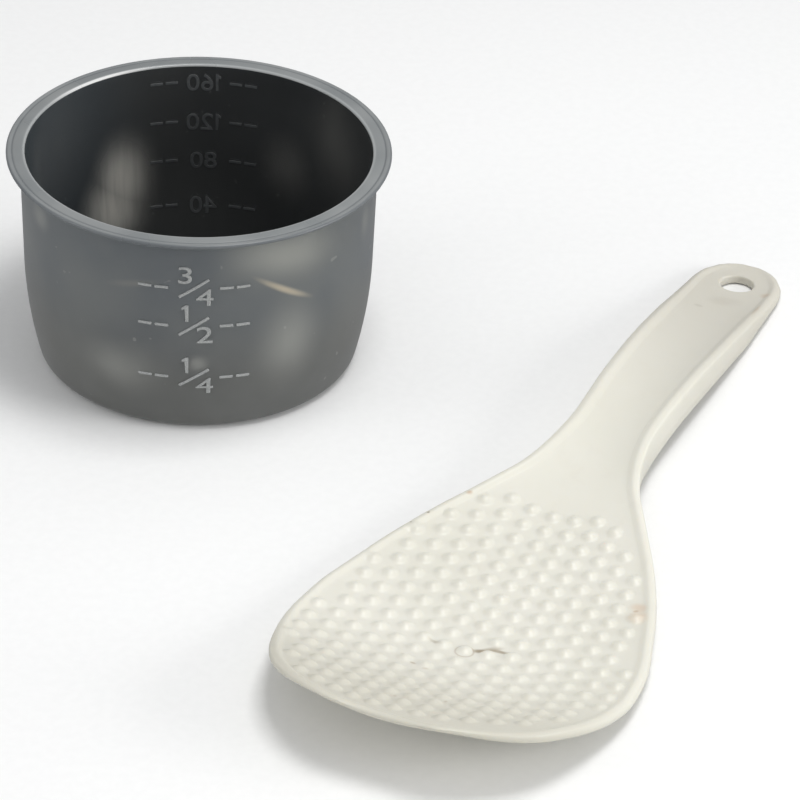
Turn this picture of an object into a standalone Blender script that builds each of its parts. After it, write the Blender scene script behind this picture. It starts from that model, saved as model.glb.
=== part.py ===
"""Rice measuring cup and rice paddle: the two loose accessories of a rice cooker, standing on a table.

Metres, +Z up, table top at z = 0. The cup stands on the world origin and the paddle lies beside it.
"""

import math

import bmesh
import bpy
from mathutils import Matrix, Vector

MM = 0.001

# Measuring cup: a moulded pot with a flat ring round its mouth.
CUP_HEIGHT = 47.8 * MM
CUP_MOUTH_OUTER_RADIUS = 37.2 * MM
CUP_RIM_OVERHANG = 2.8 * MM
CUP_RIM_THICKNESS = 0.9 * MM
CUP_WALL = 1.1 * MM
CUP_FLOOR = 1.4 * MM
CUP_TAPER = 0.021
CUP_BELLY_HEIGHT = 23.0 * MM
CUP_BELLY_RADIUS = 96.0 * MM
CUP_CORNER_RADIUS = 3.0 * MM
CUP_FACETS = 64

# Raised scale on the outside of the cup.
MARK_RELIEF = 0.25 * MM
MARK_ROOT = 0.35 * MM
MARK_DIGIT_HEIGHT = 3.9 * MM
MARK_LINE_THICKNESS = 0.6 * MM
MARK_DASH_LENGTH = 2.8 * MM
MARK_DASH_GAP = 0.65 * MM
FRACTION_WIDENING = 1.35
FRACTION_CLEAR = 10.4 * MM
MILLILITRE_WIDENING = 1.13
MILLILITRE_CLEAR = 11.5 * MM

# Outline of a figure 1 with a flag, as shares of the figure's height.
ONE_OUTLINE = (
    (0.15, 0.0),
    (0.15, 1.0),
    (0.04, 1.0),
    (-0.12, 0.84),
    (-0.12, 0.72),
    (0.02, 0.80),
    (0.02, 0.0),
)
ONE_GAP = 0.13

# Height of each mark as a share of the cup's height.
MILLILITRE_MARKS = ((40, 0.287), (80, 0.514), (120, 0.711), (160, 0.910))
CUPFUL_MARKS = ((1, 4, 0.299), (1, 2, 0.565), (3, 4, 0.755))

# Rice paddle: its length runs along its own +Y, from the scoop edge to the hang hole.
PADDLE_LENGTH = 200.6 * MM
BLADE_WIDTH = 69.6 * MM
BLADE_THICKNESS = 2.0 * MM
BLADE_BELLY = 49.0 * MM
HANDLE_WIDTH = 20.4 * MM
HANDLE_WALL = 1.9 * MM
HANG_HOLE_DIAMETER = 7.2 * MM
HANG_HOLE_FROM_END = 9.3 * MM
LIP_WIDTH = 2.6 * MM
LIP_HEIGHT = 0.45 * MM
EDGE_ROUND = 0.7 * MM
BUMP_RADIUS = 1.6 * MM
BUMP_HEIGHT = 0.75 * MM
BUMP_SIDES = 6
BUMP_MARGIN = 2.0 * MM
BUMP_COLUMN_PITCH = 4.41 * MM
BUMP_COLUMNS_MIDDLE = -0.4 * MM
BUMP_COLUMN_LEAN = -0.012
BUMP_COLUMN_FAN = 0.008
BUMP_FAN_MIDDLE = 45.0 * MM
BUMP_ROW_PITCH = 4.56 * MM
BUMP_ROW_SPREAD = 0.055 * MM
BUMP_ROW_TWIST = 0.055 * MM

# The middle column of bumps and then each one out from it, the same on both sides: how far its
# bump nearest the handle is from the scoop edge in millimetres, and how many bumps it has.
BUMP_COLUMNS = (
    (86.4, 19),
    (86.8, 19),
    (88.0, 19),
    (85.7, 18),
    (79.2, 16),
    (72.5, 14),
    (61.0, 10),
    (43.0, 4),
)

# Where the paddle lies: its scoop edge, and the way it points, from the cup's axis.
PADDLE_TIP_X = 37.1 * MM
PADDLE_TIP_Y = -148.9 * MM
PADDLE_TURN = math.radians(24.85)

# Sections along the paddle: share of the length; share of the blade's width and share of the
# handle's width, which add up to the width there; height of the middle of the top face; height
# of the sides above the middle; depth of the side wall. The last three are in millimetres.
SECTIONS = (
    (0.0000, 0.273, 0.00, 14.8, 1.0, 0.8),
    (0.0025, 0.340, 0.00, 14.7, 1.0, 0.8),
    (0.0075, 0.420, 0.00, 14.4, 1.1, 0.9),
    (0.0160, 0.520, 0.00, 13.8, 1.1, 1.1),
    (0.0275, 0.620, 0.00, 12.8, 1.2, 1.4),
    (0.0415, 0.710, 0.00, 11.7, 1.3, 1.7),
    (0.0570, 0.785, 0.00, 10.5, 1.5, 1.9),
    (0.0765, 0.848, 0.00, 9.0, 1.8, 2.0),
    (0.1000, 0.903, 0.00, 7.0, 2.1, 2.0),
    (0.1250, 0.947, 0.00, 5.2, 2.2, 2.0),
    (0.1500, 0.980, 0.00, 3.9, 2.2, 2.0),
    (0.1800, 1.000, 0.00, 2.8, 2.1, 2.0),
    (0.2100, 0.994, 0.00, 2.2, 2.1, 2.0),
    (0.2450, 0.968, 0.00, 2.0, 2.0, 2.0),
    (0.2850, 0.905, 0.00, 2.2, 1.8, 2.0),
    (0.3275, 0.830, 0.00, 2.7, 1.6, 2.0),
    (0.3650, 0.745, 0.00, 3.2, 1.6, 2.0),
    (0.4000, 0.650, 0.00, 3.9, 1.6, 2.0),
    (0.4300, 0.500, 0.19, 4.7, 1.5, 2.0),
    (0.4600, 0.310, 0.51, 5.7, 1.4, 2.1),
    (0.4900, 0.130, 0.80, 6.9, 1.2, 2.6),
    (0.5180, 0.050, 0.88, 8.0, 1.1, 4.2),
    (0.5470, 0.000, 0.94, 8.8, 1.0, 6.2),
    (0.5800, 0.000, 0.88, 9.3, 0.9, 7.2),
    (0.6200, 0.000, 0.89, 9.6, 0.9, 7.1),
    (0.6600, 0.000, 0.92, 9.6, 0.9, 6.9),
    (0.7100, 0.000, 0.95, 9.0, 0.9, 6.7),
    (0.7600, 0.000, 0.98, 8.0, 0.8, 6.2),
    (0.8100, 0.000, 0.995, 6.7, 0.7, 5.6),
    (0.8450, 0.000, 1.00, 5.6, 0.6, 5.1),
    (0.8750, 0.000, 0.99, 4.6, 0.5, 4.1),
    (0.9000, 0.000, 0.99, 3.7, 0.4, 3.0),
    (0.9250, 0.000, 0.98, 3.0, 0.3, 2.4),
    (0.9500, 0.000, 0.955, 2.5, 0.2, 2.1),
    (0.9700, 0.000, 0.87, 2.2, 0.1, 2.0),
    (0.9840, 0.000, 0.71, 2.1, 0.0, 2.0),
    (0.9930, 0.000, 0.53, 2.0, 0.0, 2.0),
    (0.9980, 0.000, 0.33, 2.0, 0.0, 2.0),
    (1.0000, 0.000, 0.19, 2.0, 0.0, 2.0),
)


def clear_scene():
    for thing in list(bpy.data.objects):
        bpy.data.objects.remove(thing, do_unlink=True)


def new_object(name, mesh, material=None):
    thing = bpy.data.objects.new(name, mesh)
    bpy.context.scene.collection.objects.link(thing)
    if material:
        mesh.materials.append(material)
    return thing


def plastic(name, colour, roughness):
    material = bpy.data.materials.new(name)
    material.use_nodes = True
    shader = material.node_tree.nodes["Principled BSDF"]
    shader.inputs["Base Color"].default_value = (*colour, 1.0)
    shader.inputs["Roughness"].default_value = roughness
    return material


def mesh_from(name, points, faces):
    mesh = bpy.data.meshes.new(name)
    mesh.from_pydata(points, [], faces)
    mesh.validate()
    shape = bmesh.new()
    shape.from_mesh(mesh)
    bmesh.ops.recalc_face_normals(shape, faces=shape.faces)
    shape.to_mesh(mesh)
    shape.free()
    return mesh


def shade_smooth(mesh, sharp_degrees):
    mesh.shade_smooth()
    mesh.set_sharp_from_angle(angle=math.radians(sharp_degrees))


def hide_cutter(thing):
    thing.hide_render = True
    thing.display_type = "WIRE"


def add_boolean(body, tool, operation):
    step = body.modifiers.new(tool.name, "BOOLEAN")
    step.operation = operation
    step.solver = "EXACT"
    step.object = tool


# The cup.


def arc(centre, radius, start, end, steps):
    """Points on an arc, angles in radians from +X, as (x, z)."""
    points = []
    for i in range(steps + 1):
        angle = start + (end - start) * i / steps
        points.append((centre[0] + radius * math.cos(angle), centre[1] + radius * math.sin(angle)))
    return points


def cup_side(inset, floor):
    """The wall's outer line from the floor up to the mouth, moved in by inset and cut off at floor."""
    lean = math.atan(CUP_TAPER)
    belly = CUP_BELLY_RADIUS - inset
    corner = max(CUP_CORNER_RADIUS - inset * 0.4, 1.2 * MM)
    wall_foot = CUP_MOUTH_OUTER_RADIUS - CUP_TAPER * (CUP_HEIGHT - CUP_BELLY_HEIGHT)
    belly_centre = (
        wall_foot - CUP_BELLY_RADIUS * math.cos(lean),
        CUP_BELLY_HEIGHT + CUP_BELLY_RADIUS * math.sin(lean),
    )
    drop = belly_centre[1] - floor
    low = math.asin((drop - corner) / (belly - corner))
    corner_centre = (
        belly_centre[0] + (belly - corner) * math.cos(low),
        belly_centre[1] - (belly - corner) * math.sin(low),
    )
    points = arc(corner_centre, corner, -math.pi / 2, -low, 5)
    points += arc(belly_centre, belly, -low, -lean, 6)[1:]
    points.append((CUP_MOUTH_OUTER_RADIUS - inset, CUP_HEIGHT))
    return points


def cup_profile():
    """Closed half section from the middle of the underside, out and up, and back to the middle of the floor."""
    outside = cup_side(0.0, 0.0)
    inside = cup_side(CUP_WALL, CUP_FLOOR)
    rim = CUP_MOUTH_OUTER_RADIUS + CUP_RIM_OVERHANG
    under = CUP_HEIGHT - CUP_RIM_THICKNESS
    half = CUP_RIM_THICKNESS / 2
    points = [(0.0, 0.0)] + outside[:-1]
    points.append((CUP_MOUTH_OUTER_RADIUS - CUP_TAPER * CUP_RIM_THICKNESS, under))
    points += arc((rim - half, under + half), half, -math.pi / 2, math.pi / 2, 4)
    lip = inside[-1][0]
    points += arc((lip + half, under + half), half, math.pi / 2, math.pi, 3)
    points += inside[-2::-1]
    points.append((0.0, CUP_FLOOR))
    return points


def lathe(name, profile, facets):
    """Turns a half section, whose two ends lie on the axis, into a closed body."""
    points = []
    rings = []
    for radius, height in profile:
        if radius == 0.0:
            rings.append([len(points)])
            points.append((0.0, 0.0, height))
            continue
        rings.append(list(range(len(points), len(points) + facets)))
        for i in range(facets):
            turn = 2 * math.pi * i / facets
            points.append((radius * math.cos(turn), radius * math.sin(turn), height))
    faces = []
    for low, high in zip(rings, rings[1:]):
        for i in range(facets):
            j = (i + 1) % facets
            if len(low) == 1:
                faces.append((low[0], high[j], high[i]))
            elif len(high) == 1:
                faces.append((low[i], low[j], high[0]))
            else:
                faces.append((low[i], low[j], high[j], high[i]))
    return mesh_from(name, points, faces)


def side_radius(line, height):
    """Radius of a side line at a height."""
    for (r0, z0), (r1, z1) in zip(line, line[1:]):
        if z0 <= height <= z1:
            return r0 + (r1 - r0) * (height - z0) / (z1 - z0)
    return line[-1][0]


def font_outline(text, height):
    """Figures of the built-in font as a flat solid in the XY plane."""
    curve = bpy.data.curves.new("word", "FONT")
    curve.body = text
    curve.size = height / 0.7
    curve.extrude = (MARK_RELIEF + MARK_ROOT) / 2
    curve.resolution_u = 2
    word = new_object("word", curve)
    bpy.context.view_layer.update()
    shape = bmesh.new()
    shape.from_mesh(word.to_mesh())
    word.to_mesh_clear()
    bpy.data.objects.remove(word, do_unlink=True)
    bpy.data.curves.remove(curve)
    bmesh.ops.remove_doubles(shape, verts=shape.verts, dist=0.02 * MM)
    return shape


def add_figure_one(shape, height, right):
    """A figure 1 as a flat solid in the XY plane, its right-hand side at this place."""
    shift = right - ONE_OUTLINE[0][0] * height
    half = (MARK_RELIEF + MARK_ROOT) / 2
    low = [shape.verts.new((shift + x * height, y * height, -half)) for x, y in ONE_OUTLINE]
    high = [shape.verts.new((shift + x * height, y * height, half)) for x, y in ONE_OUTLINE]
    shape.faces.new(list(reversed(low)))
    shape.faces.new(high)
    for i in range(len(low)):
        j = (i + 1) % len(low)
        shape.faces.new((low[i], low[j], high[j], high[i]))


def text_outline(text, height, widening):
    """A number as a flat solid in the XZ plane, facing -Y, its middle at the origin."""
    rest = text.lstrip("1")
    shape = font_outline(rest, height) if rest else bmesh.new()
    if rest != text:
        right = min((v.co.x for v in shape.verts), default=0.0) - ONE_GAP * height
        add_figure_one(shape, height, right)
    turn = Matrix.Rotation(math.radians(90), 4, "X")
    middle = [(min(v.co[k] for v in shape.verts) + max(v.co[k] for v in shape.verts)) / 2 for k in (0, 1)]
    bmesh.ops.translate(shape, verts=shape.verts, vec=(-middle[0], -middle[1], 0.0))
    bmesh.ops.scale(shape, verts=shape.verts, vec=(widening, 1.0, 1.0))
    bmesh.ops.transform(shape, matrix=turn, verts=shape.verts)
    return shape


def bar_outline(length, thickness, tilt):
    """A straight line of the scale as a flat solid in the XZ plane."""
    shape = bmesh.new()
    bmesh.ops.create_cube(shape, size=1.0)
    size = (length, MARK_RELIEF + MARK_ROOT, thickness)
    bmesh.ops.scale(shape, vec=size, verts=shape.verts)
    turn = Matrix.Rotation(-tilt, 4, "Y")
    bmesh.ops.transform(shape, matrix=turn, verts=shape.verts)
    return shape


def wrap(shape, across, height, turn, target):
    """Bends a flat mark round the cup at this height and adds it to the target."""
    line = cup_side(0.0, 0.0)
    foot = Vector((0.0, -side_radius(line, height), 0.0))
    relief = (MARK_RELIEF - MARK_ROOT) / 2
    for v in shape.verts:
        z = height + v.co.z
        radius = side_radius(line, z) - v.co.y + relief
        angle = (v.co.x + across) / foot.length
        v.co = Vector((radius * math.sin(angle), -radius * math.cos(angle), z))
    bmesh.ops.rotate(shape, verts=shape.verts, cent=(0, 0, 0), matrix=Matrix.Rotation(turn, 3, "Z"))
    piece = bpy.data.meshes.new("piece")
    shape.to_mesh(piece)
    shape.free()
    target.from_mesh(piece)
    bpy.data.meshes.remove(piece)


def add_dashes(height, clear, turn, target):
    """Two dashes on each side of a mark that is clear wide."""
    for side in (-1, 1):
        for i in range(2):
            across = clear / 2 + MARK_DASH_LENGTH / 2 + i * (MARK_DASH_LENGTH + MARK_DASH_GAP)
            dash = bar_outline(MARK_DASH_LENGTH, MARK_LINE_THICKNESS, 0.0)
            wrap(dash, side * across, height, turn, target)


def cup_marks():
    """The raised scale: fractions of a cupful on the front, millilitres on the back."""
    marks = bmesh.new()
    digit = MARK_DIGIT_HEIGHT
    for top, bottom, share in CUPFUL_MARKS:
        height = share * CUP_HEIGHT
        over = text_outline(str(top), digit, FRACTION_WIDENING)
        under = text_outline(str(bottom), digit, FRACTION_WIDENING)
        wrap(over, -0.46 * digit, height + 0.80 * digit, 0.0, marks)
        wrap(under, 0.56 * digit, height - 0.52 * digit, 0.0, marks)
        slash = bar_outline(1.9 * digit, MARK_LINE_THICKNESS, math.radians(35))
        wrap(slash, 0.0, height, 0.0, marks)
        add_dashes(height, FRACTION_CLEAR, 0.0, marks)
    for amount, share in MILLILITRE_MARKS:
        height = share * CUP_HEIGHT
        wrap(text_outline(str(amount), digit, MILLILITRE_WIDENING), 0.0, height, math.pi, marks)
        add_dashes(height, MILLILITRE_CLEAR, math.pi, marks)
    bmesh.ops.recalc_face_normals(marks, faces=marks.faces)
    mesh = bpy.data.meshes.new("cup_marks")
    marks.to_mesh(mesh)
    marks.free()
    return new_object("cup_marks", mesh)


def build_cup():
    material = plastic("frosted_polypropylene", (0.30, 0.31, 0.32), 0.35)
    cup = new_object("measuring_cup", lathe("measuring_cup", cup_profile(), CUP_FACETS), material)
    marks = cup_marks()
    hide_cutter(marks)
    add_boolean(cup, marks, "UNION")
    shade_smooth(cup.data, 40)
    return cup


# The paddle.


def smooth_between(table, along):
    """Each column of a table at this point, on a smooth curve through its rows."""
    for i, (a, b) in enumerate(zip(table, table[1:])):
        if along <= b[0]:
            break
    before = table[max(i - 1, 0)]
    after = table[min(i + 2, len(table) - 1)]
    gap = b[0] - a[0]
    share = (along - a[0]) / gap
    s2 = share * share
    s3 = s2 * share
    values = []
    for k in range(1, len(a)):
        slope_in = (b[k] - before[k]) / (b[0] - before[0])
        slope_out = (after[k] - a[k]) / (after[0] - a[0])
        value = (2 * s3 - 3 * s2 + 1) * a[k] + (s3 - 2 * s2 + share) * gap * slope_in
        value += (3 * s2 - 2 * s3) * b[k] + (s3 - s2) * gap * slope_out
        values.append(value)
    return values


def section_at(along):
    """Half width, height of the middle, height of the sides above it and depth of the side wall."""
    blade, handle, middle, sides, wall = smooth_between(SECTIONS, along / PADDLE_LENGTH)
    half = blade * BLADE_WIDTH / 2 + handle * HANDLE_WIDTH / 2
    return half, middle * MM, sides * MM, wall * MM


def edge_distance(along, across):
    """Roughly how far a point of the top face is from the outline."""
    half = section_at(along)[0]
    nearest = half - abs(across)
    for i in range(1, 9):
        step = i * 0.5 * MM
        for other in (along - step, along + step):
            if other <= 0.0 or other >= PADDLE_LENGTH:
                nearest = min(nearest, step)
                continue
            gap = section_at(other)[0] - abs(across)
            if gap < 0.0:
                nearest = min(nearest, step)
    return max(nearest, 0.0)


def lip_height(distance):
    """The soft ridge that runs round the top face, rolled down at the very edge."""
    ridge = LIP_WIDTH / 2
    rise = max(0.0, 1.0 - abs(distance - ridge) / ridge)
    roll = max(0.0, 1.0 - distance / EDGE_ROUND)
    return LIP_HEIGHT * rise * rise * (3 - 2 * rise) - 0.5 * EDGE_ROUND * roll * roll


def top_height(along, across):
    half, middle, sides, _ = section_at(along)
    share = min(abs(across) / max(half, 1.0 * MM), 1.0)
    return middle + sides * share**2 + lip_height(edge_distance(along, across))


def section_points(along):
    """One closed cross-section, anticlockwise seen from the hang hole, as (across, height)."""
    half, middle, sides, wall_depth = section_at(along)
    thickness = min(BLADE_THICKNESS, wall_depth)
    edge = [0.0, 0.35 * MM, 0.8 * MM, 1.5 * MM, LIP_WIDTH]
    edge = [min(e, half * 0.16 * i) for i, e in enumerate(edge)]
    inner = half - edge[-1]
    across = [-half + e for e in edge]
    across += [inner * (i / 4 - 1) for i in range(1, 8)]
    across += [half - e for e in reversed(edge)]
    top = [(x, top_height(along, x)) for x in across]
    side_top = top[0][1]
    bottom = middle + sides - wall_depth
    draft = min(0.35 * MM, half * 0.1)
    web = min(HANDLE_WALL, half * 0.45)
    ceiling = middle - thickness
    ceiling_side = ceiling + 0.6 * sides
    right = [(half + draft * 0.6, (side_top + bottom) / 2), (half + draft * 0.5, bottom + 0.25 * MM)]
    right += [(half - web * 0.2, bottom), (half - web * 0.8, bottom), (half - web, ceiling_side)]
    under = []
    for i in range(1, 6):
        share = 1 - i / 3
        under.append((share * (half - web), ceiling + (ceiling_side - ceiling) * share**2))
    left = [(-x, z) for x, z in reversed(right)]
    return top + right + under + left


def station_list():
    """Distances along the paddle where a cross-section is cut, closer together at both ends."""
    stations = [s[0] * PADDLE_LENGTH for s in SECTIONS]
    filled = []
    for a, b in zip(stations, stations[1:]):
        pieces = max(1, math.ceil((b - a) / (4.6 * MM)))
        filled += [a + (b - a) * i / pieces for i in range(pieces)]
    return filled + [stations[-1]]


def paddle_body():
    points = []
    sections = []
    for along in station_list():
        outline = section_points(along)
        sections.append(list(range(len(points), len(points) + len(outline))))
        points += [(x, along - BLADE_BELLY, z) for x, z in outline]
    faces = [tuple(sections[0]), tuple(reversed(sections[-1]))]
    for near, far in zip(sections, sections[1:]):
        for i in range(len(near)):
            j = (i + 1) % len(near)
            faces.append((near[i], far[i], far[j], near[j]))
    return mesh_from("rice_paddle", points, faces)


def bump_places():
    """Middle of each bump, column by column from the handle end. The columns fan out a little."""
    places = []
    for column in range(1 - len(BUMP_COLUMNS), len(BUMP_COLUMNS)):
        first, count = BUMP_COLUMNS[abs(column)]
        left = min(column, 0)
        lean = BUMP_COLUMN_LEAN + BUMP_COLUMN_FAN * left
        pitch = BUMP_ROW_PITCH - BUMP_ROW_SPREAD * left
        start = column * BUMP_COLUMN_PITCH + BUMP_COLUMNS_MIDDLE
        along = first * MM + BUMP_ROW_TWIST * column * abs(column)
        for _ in range(count):
            across = start + lean * (along - BUMP_FAN_MIDDLE)
            if edge_distance(along, across) >= BUMP_MARGIN:
                places.append((across, along))
            slope = (section_at(along)[1] - section_at(along - MM)[1]) / MM
            along -= pitch / math.sqrt(1 + slope * slope)
    return places


def paddle_bumps():
    """All the domes of the blade in one mesh, each reaching a little into the plate."""
    points = []
    faces = []
    rings = ((1.12 * BUMP_RADIUS, -0.35 * MM), (0.66 * BUMP_RADIUS, 0.72 * BUMP_HEIGHT))
    for across, along in bump_places():
        slope = (top_height(along + MM, across) - top_height(along - MM, across)) / (2 * MM)
        tilt = Matrix.Rotation(math.atan(slope), 3, "X")
        centre = Vector((across, along - BLADE_BELLY, top_height(along, across)))
        low = len(points)
        high = low + BUMP_SIDES
        for radius, height in rings:
            for i in range(BUMP_SIDES):
                turn = 2 * math.pi * i / BUMP_SIDES
                local = Vector((radius * math.cos(turn), radius * math.sin(turn), height))
                points.append(centre + tilt @ local)
        points.append(centre + tilt @ Vector((0.0, 0.0, BUMP_HEIGHT)))
        faces.append(tuple(low + i for i in reversed(range(BUMP_SIDES))))
        for i in range(BUMP_SIDES):
            j = (i + 1) % BUMP_SIDES
            faces.append((low + i, low + j, high + j, high + i))
            faces.append((high + i, high + j, high + BUMP_SIDES))
    return new_object("paddle_bumps", mesh_from("paddle_bumps", points, faces))


def hang_hole():
    profile_radius = HANG_HOLE_DIAMETER / 2
    shape = bmesh.new()
    bmesh.ops.create_cone(
        shape,
        cap_ends=True,
        segments=32,
        radius1=profile_radius,
        radius2=profile_radius,
        depth=20 * MM,
    )
    along = PADDLE_LENGTH - HANG_HOLE_FROM_END - BLADE_BELLY
    bmesh.ops.translate(shape, verts=shape.verts, vec=(0.0, along, 0.0))
    mesh = bpy.data.meshes.new("hang_hole")
    shape.to_mesh(mesh)
    shape.free()
    return new_object("hang_hole", mesh)


def build_paddle():
    material = plastic("cream_polypropylene", (0.80, 0.77, 0.69), 0.4)
    paddle = new_object("rice_paddle", paddle_body(), material)
    direction = Vector((math.sin(PADDLE_TURN), math.cos(PADDLE_TURN), 0.0))
    place = Vector((PADDLE_TIP_X, PADDLE_TIP_Y, 0.0)) + direction * BLADE_BELLY
    for tool, operation in ((paddle_bumps(), "UNION"), (hang_hole(), "DIFFERENCE")):
        hide_cutter(tool)
        add_boolean(paddle, tool, operation)
        tool.location = place
        tool.rotation_euler = (0.0, 0.0, -PADDLE_TURN)
    paddle.location = place
    paddle.rotation_euler = (0.0, 0.0, -PADDLE_TURN)
    shade_smooth(paddle.data, 40)
    return paddle


clear_scene()
build_cup()
build_paddle()
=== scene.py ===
"""Looks for the rice measuring cup and rice paddle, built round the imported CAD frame.

The cup is smoke-grey translucent polypropylene with a raised scale, and the paddle is cream
polypropylene with a domed scoop. Lengths are in metres, and anything in millimetres is multiplied
by MM.
"""

import math

import bmesh
import bpy
import numpy as np
from mathutils import Matrix, Vector


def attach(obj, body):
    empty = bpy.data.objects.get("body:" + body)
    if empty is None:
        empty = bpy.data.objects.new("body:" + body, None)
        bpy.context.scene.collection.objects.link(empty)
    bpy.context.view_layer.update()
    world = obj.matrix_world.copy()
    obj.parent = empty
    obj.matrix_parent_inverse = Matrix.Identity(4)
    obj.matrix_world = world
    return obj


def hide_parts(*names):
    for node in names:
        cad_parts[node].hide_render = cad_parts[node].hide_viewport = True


MM = 0.001

# Measuring cup, the same sizes as the CAD.
CUP_HEIGHT = 47.8 * MM
CUP_MOUTH_RADIUS = 37.2 * MM
CUP_RIM_OVERHANG = 2.8 * MM
CUP_RIM_THICKNESS = 0.9 * MM
CUP_WALL = 1.1 * MM
CUP_FLOOR = 1.4 * MM
CUP_TAPER = 0.021
CUP_BELLY_HEIGHT = 23.0 * MM
CUP_BELLY_RADIUS = 96.0 * MM
CUP_CORNER_RADIUS = 3.0 * MM
CUP_FACETS = 256
RIM_OUTER = CUP_MOUTH_RADIUS + CUP_RIM_OVERHANG
RIM_INNER = CUP_MOUTH_RADIUS - CUP_WALL
RIM_GROOVE = RIM_OUTER - 1.25 * MM
RIM_GROOVE_DEPTH = 0.14 * MM
# Across the groove, from its outer side: distance from its middle in millimetres, share of depth.
RIM_GROOVE_LINE = ((-0.35, 0.0), (-0.2, 0.35), (-0.08, 0.9), (0.08, 0.9), (0.2, 0.35), (0.35, 0.0))

# Raised scale.
MARK_RELIEF = 0.25 * MM
MARK_BEVEL = 0.07 * MM
MARK_WITNESS = 0.05 * MM
MARK_HALF_DEPTH = 0.5 * MM
DIGIT_HEIGHT = 3.9 * MM
LINE_THICKNESS = 0.6 * MM
DASH_LENGTH = 2.8 * MM
DASH_GAP = 0.65 * MM
FRACTION_WIDENING = 1.35
FRACTION_CLEAR = 10.4 * MM
# Across and up from the fraction's middle, and the stroke's length, as shares of a figure's height.
FRACTION_TOP = (-0.46, 0.80)
FRACTION_BOTTOM = (0.56, -0.52)
FRACTION_STROKE = 1.9
FRACTION_TILT = math.radians(35)
MILLILITRE_WIDENING = 1.13
MILLILITRE_CLEAR = 11.5 * MM
MILLILITRE_MARKS = ((40, 0.287), (80, 0.514), (120, 0.711), (160, 0.910))
CUPFUL_MARKS = ((1, 4, 0.299), (1, 2, 0.565), (3, 4, 0.755))

# Outline of a figure 1 with a flag, as shares of the figure's height.
ONE_OUTLINE = (
    (0.15, 0.0),
    (0.15, 1.0),
    (0.04, 1.0),
    (-0.12, 0.84),
    (-0.12, 0.72),
    (0.02, 0.80),
    (0.02, 0.0),
)
ONE_GAP = 0.13

# Rice paddle. Its own +Y runs from the scoop edge to the hang hole.
PADDLE_LENGTH = 200.6 * MM
BLADE_WIDTH = 69.6 * MM
BLADE_THICKNESS = 2.0 * MM
HANDLE_WIDTH = 20.4 * MM
HANDLE_WALL = 1.9 * MM
HANG_HOLE_RADIUS = 3.6 * MM
HANG_HOLE_FROM_END = 9.3 * MM
HOLE_EDGE_ROUND = 0.5 * MM
HOLE_TOP = 2.35 * MM
HOLE_FOOT = 0.2 * MM
HOLE_SIDES = 72
SIDE_DRAFT = 0.35 * MM
SIDE_ROUND = 0.45 * MM
LIP_WIDTH = 2.6 * MM
LIP_HEIGHT = 0.45 * MM
GRIP_LIP_WIDTH = 3.2 * MM
GRIP_LIP_HEIGHT = 0.6 * MM
GRIP_DISH = 0.6 * MM
GRIP_SHARE = ((0.095, 0.118, 0.168, 0.188), (0.0, 1.0, 1.0, 0.0))
EDGE_ROUND = 0.6 * MM
DOME_RADIUS = 1.75 * MM
DOME_HEIGHT = 0.75 * MM
DOME_ROUNDNESS = 1.35
DOME_MARGIN = 2.0 * MM
DOME_COLUMN_PITCH = 4.41 * MM
DOME_COLUMNS_MIDDLE = -0.4 * MM
DOME_COLUMN_LEAN = -0.012
DOME_COLUMN_FAN = 0.008
DOME_FAN_MIDDLE = 45.0 * MM
DOME_ROW_PITCH = 4.56 * MM
DOME_ROW_SPREAD = 0.055 * MM
DOME_ROW_TWIST = 0.055 * MM
PADDLE_TIP = (37.1 * MM, -148.9 * MM)
PADDLE_TURN = math.radians(24.85)
TOP_COLUMNS = 151
OUTLINE_STEPS = 900
SLOPE_STEP = 0.4 * MM

# The middle column of domes and then each one out from it, the same on both sides: how far its
# dome nearest the handle is from the scoop edge in millimetres, and how many domes it has.
DOME_COLUMNS = (
    (86.4, 19),
    (86.8, 19),
    (88.0, 19),
    (85.7, 18),
    (79.2, 16),
    (72.5, 14),
    (61.0, 10),
    (43.0, 4),
)

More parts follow.
